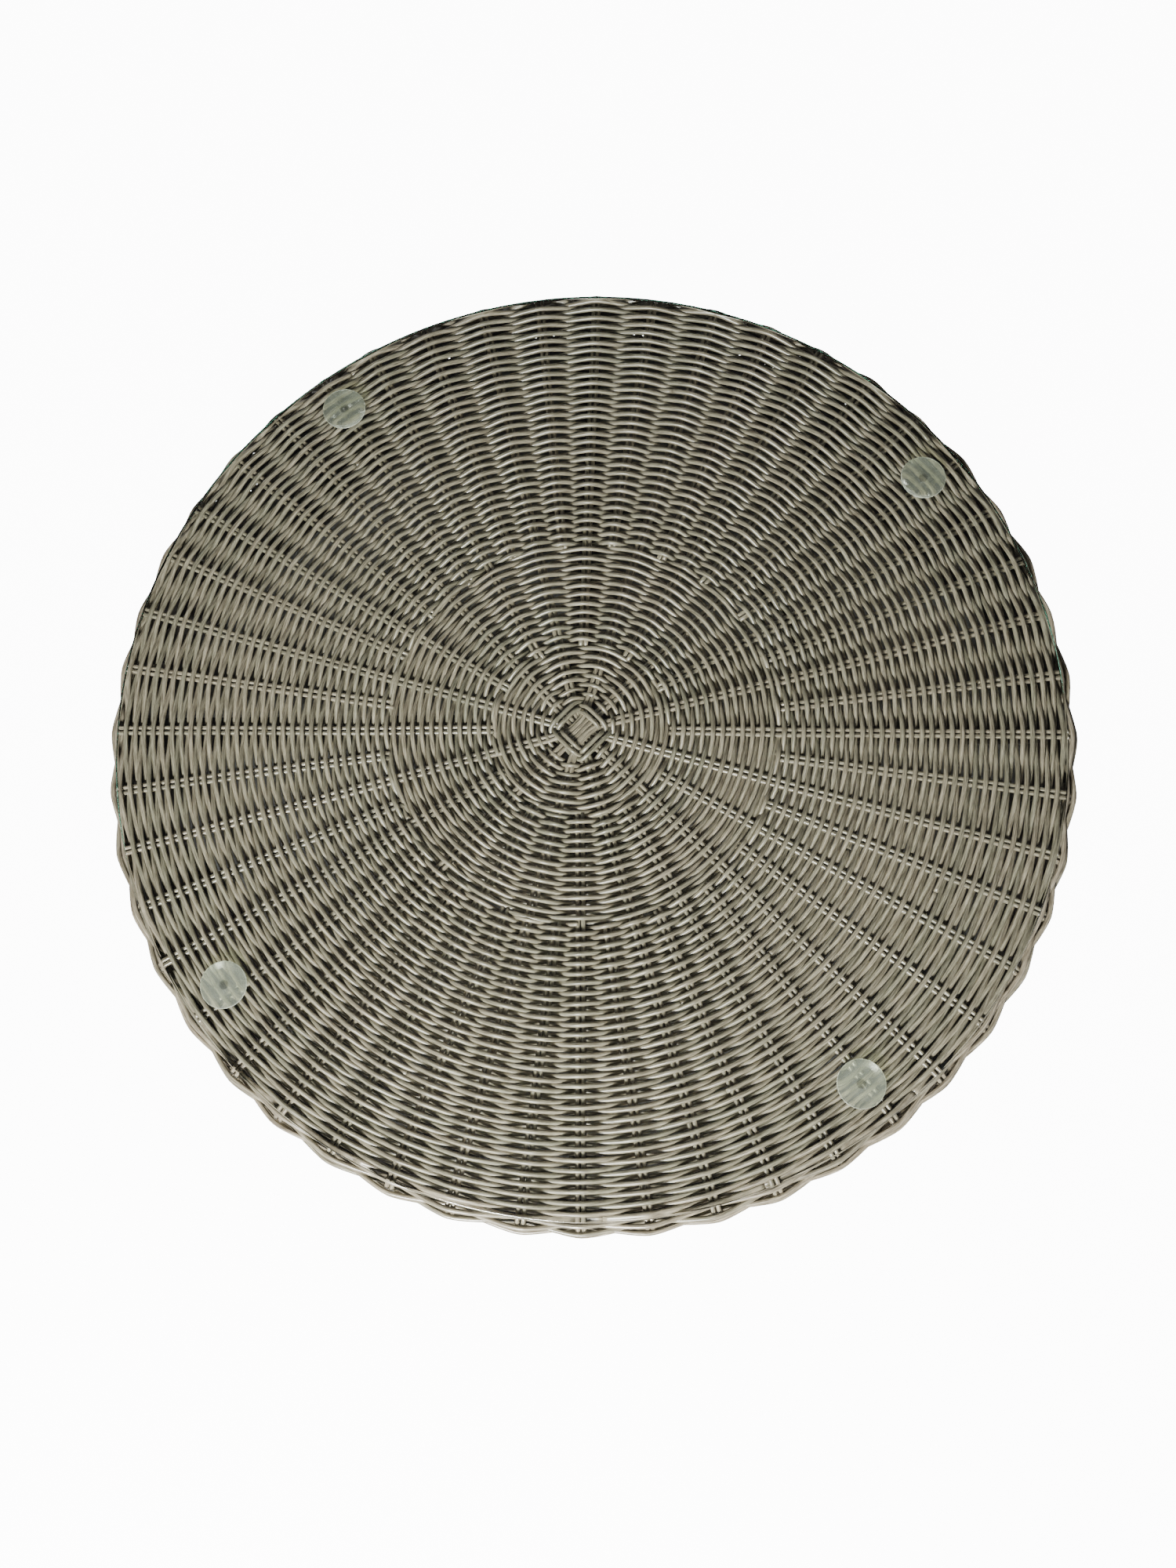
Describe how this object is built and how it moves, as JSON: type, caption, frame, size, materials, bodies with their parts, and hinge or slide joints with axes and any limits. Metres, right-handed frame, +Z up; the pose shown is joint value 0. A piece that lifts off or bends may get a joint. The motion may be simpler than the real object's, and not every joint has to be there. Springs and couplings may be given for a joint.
{
  "type": "woven table top",
  "caption": "Round woven resin-strand table top with a lift-off glass plate resting on clear suction pads, on a steel ring frame.",
  "frame": {"origin": "centre of the foot plane that the woven side stands on", "axes": "+Z up through the middle of the top; +X and +Y along the two crossed frame bars"},
  "size_m": [0.6249, 0.625, 0.063],
  "materials": {
    "strand": "grey-taupe round strand with fine streaks, satin",
    "frame_steel": "dark brown powder coat, matt",
    "zinc_steel": "zinc plated",
    "glass": "clear toughened float glass with a polished edge, faint green",
    "pad": "clear soft plastic"
  },
  "bodies": {
    "woven_top": {"rim_ring": "frame_steel", "foot_ring": "frame_steel", "post_1": "frame_steel", "post_2": "frame_steel", "post_3": "frame_steel", "post_4": "frame_steel", "post_5": "frame_steel", "post_6": "frame_steel", "post_7": "frame_steel", "post_8": "frame_steel", "cross_bar_long": "frame_steel", "cross_bar_back": "frame_steel", "cross_bar_front": "frame_steel", "corner_rail_1": "frame_steel", "hoop_arc_1": "frame_steel", "leg_plate_1": "frame_steel", "corner_rail_2": "frame_steel", "hoop_arc_2": "frame_steel", "leg_plate_2": "frame_steel", "corner_rail_3": "frame_steel", "hoop_arc_3": "frame_steel", "leg_plate_3": "frame_steel", "corner_rail_4": "frame_steel", "hoop_arc_4": "frame_steel", "leg_plate_4": "frame_steel", "leg_nut_1": "zinc_steel", "leg_nut_2": "zinc_steel", "leg_nut_3": "zinc_steel", "leg_nut_4": "zinc_steel", "cross_stakes_over": "strand", "cross_stakes_under": "strand", "second_stakes": "strand", "third_stakes": "strand", "centre_wraps": "strand", "weave_inner": "strand", "weave_middle": "strand", "weave_outer": "strand", "weave_shoulder": "strand", "weave_side": "strand", "foot_border": "strand", "border_nails": "zinc_steel"},
    "glass_top": {"glass_plate": "glass", "suction_pad_1": "pad", "suction_pad_2": "pad", "suction_pad_3": "pad", "suction_pad_4": "pad"}
  },
  "joints": [
    {"name": "glass_lift", "type": "slide", "parent": "woven_top", "child": "glass_top", "axis": [0, 0, 1], "range_m": [0, 0.12]}
  ]
}
